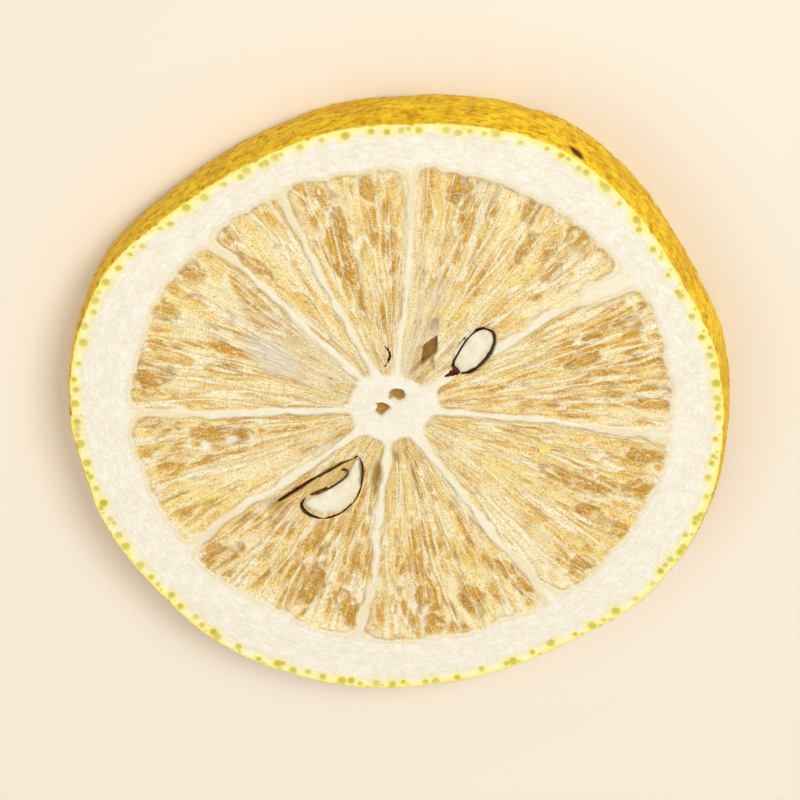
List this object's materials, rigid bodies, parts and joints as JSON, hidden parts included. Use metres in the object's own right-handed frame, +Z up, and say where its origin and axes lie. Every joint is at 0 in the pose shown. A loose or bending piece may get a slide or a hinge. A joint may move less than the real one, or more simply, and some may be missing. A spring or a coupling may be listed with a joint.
{
  "type": "dried lemon slice",
  "caption": "Round cross-cut slice of dried lemon with peel, white pith, sunken pulp segments round a pale core, and two cut seeds; lies flat.",
  "frame": {"origin": "middle of the slice's box, on the cut face it lies on", "axes": "+Z up through the slice's thickness, towards the face with the seeds; +Y towards the side where the cut wall of the peel is seen; +X to its right, seen from above"},
  "size_m": [0.0558, 0.0554, 0.0052],
  "materials": {
    "pulp": "dried pulp: straw-gold cells between cream fibres, matt with faint gloss",
    "peel": "golden yellow dried peel, dimpled with oil glands, satin",
    "pith": "cream-white spongy pith and segment walls, matt",
    "seed": "cream kernel in a thin dark brown skin"
  },
  "bodies": {
    "root": {"lemon_slice": "pulp"}
  },
  "joints": []
}
